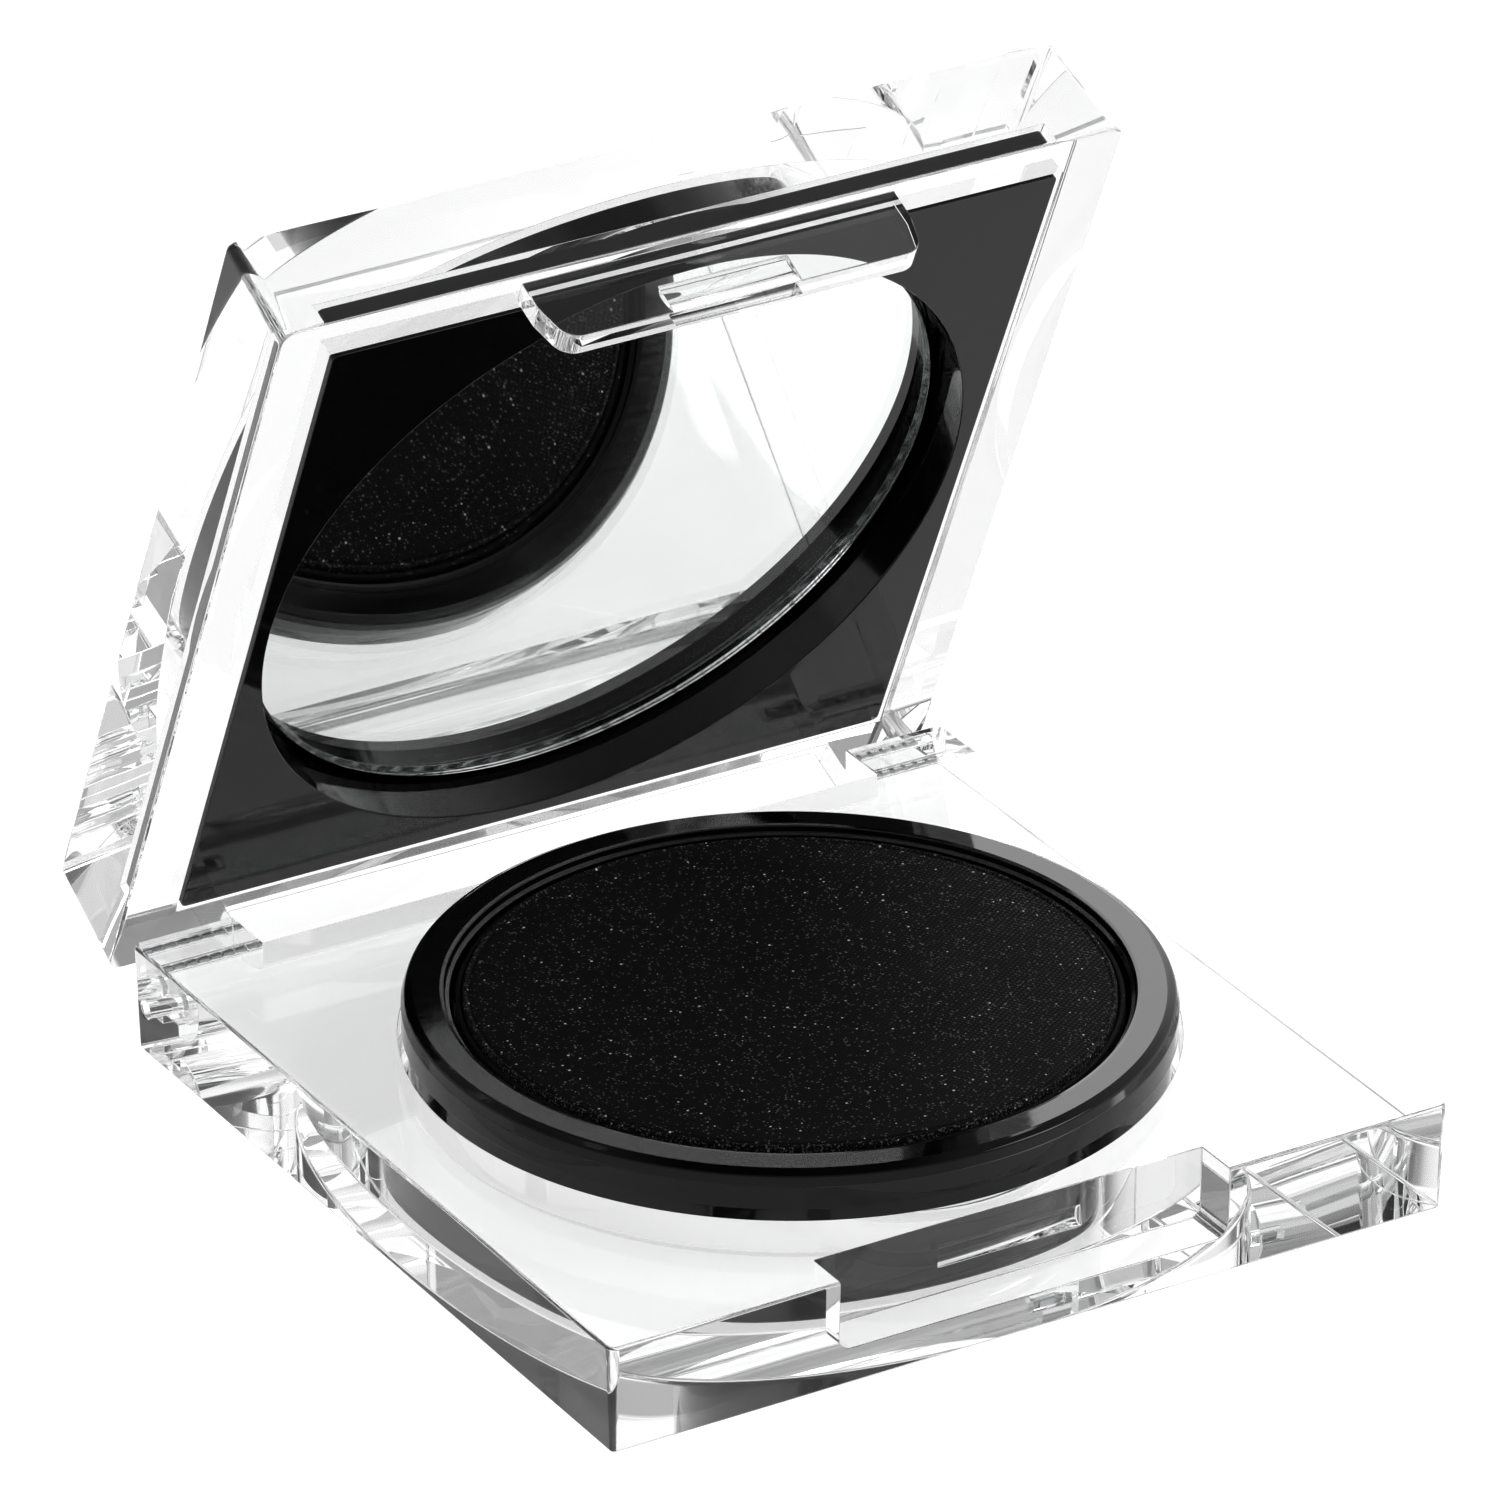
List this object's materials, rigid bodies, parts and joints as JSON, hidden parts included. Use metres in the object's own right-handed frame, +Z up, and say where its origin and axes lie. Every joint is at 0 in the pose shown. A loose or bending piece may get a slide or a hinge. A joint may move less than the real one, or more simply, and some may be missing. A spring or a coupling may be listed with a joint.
{
  "type": "eyeshadow compact",
  "caption": "Square clear acrylic compact with a round pan of pressed black eyeshadow, a mirror in the hinged lid and a latch tongue.",
  "frame": {"origin": "centre of the base's flat bottom face", "axes": "+Z up out of the bottom face, +X along the hinge, -Y towards the front where the latch is; the lid stands open at rest"},
  "size_m": [0.0544, 0.0639, 0.0556],
  "materials": {
    "clear_acrylic": "polished, water clear",
    "black_gloss": "high gloss moulded black",
    "mirror_glass": "silvered glass, ground edge",
    "pressed_powder": "matte pressed powder with fine pale glitter",
    "tinplate": "plain tinplate",
    "pin_steel": "plain steel",
    "adhesive": "matte black double-sided foam tape"
  },
  "bodies": {
    "base": {"base_shell": "clear_acrylic", "pan_tray": "black_gloss", "powder": "pressed_powder", "pan": "tinplate", "tray_tape": "adhesive", "pan_tape": "adhesive", "hinge_pin_left": "pin_steel", "hinge_pin_right": "pin_steel"},
    "lid": {"lid_shell": "clear_acrylic", "mirror_frame": "black_gloss", "mirror": "mirror_glass", "mirror_tape": "adhesive", "frame_tape": "adhesive"}
  },
  "joints": [
    {"name": "lid_hinge", "type": "hinge", "parent": "base", "child": "lid", "pos_m": [0, 0.0258, 0.003], "axis": [-1, 0, 0], "range_deg": [-66, 29]}
  ]
}
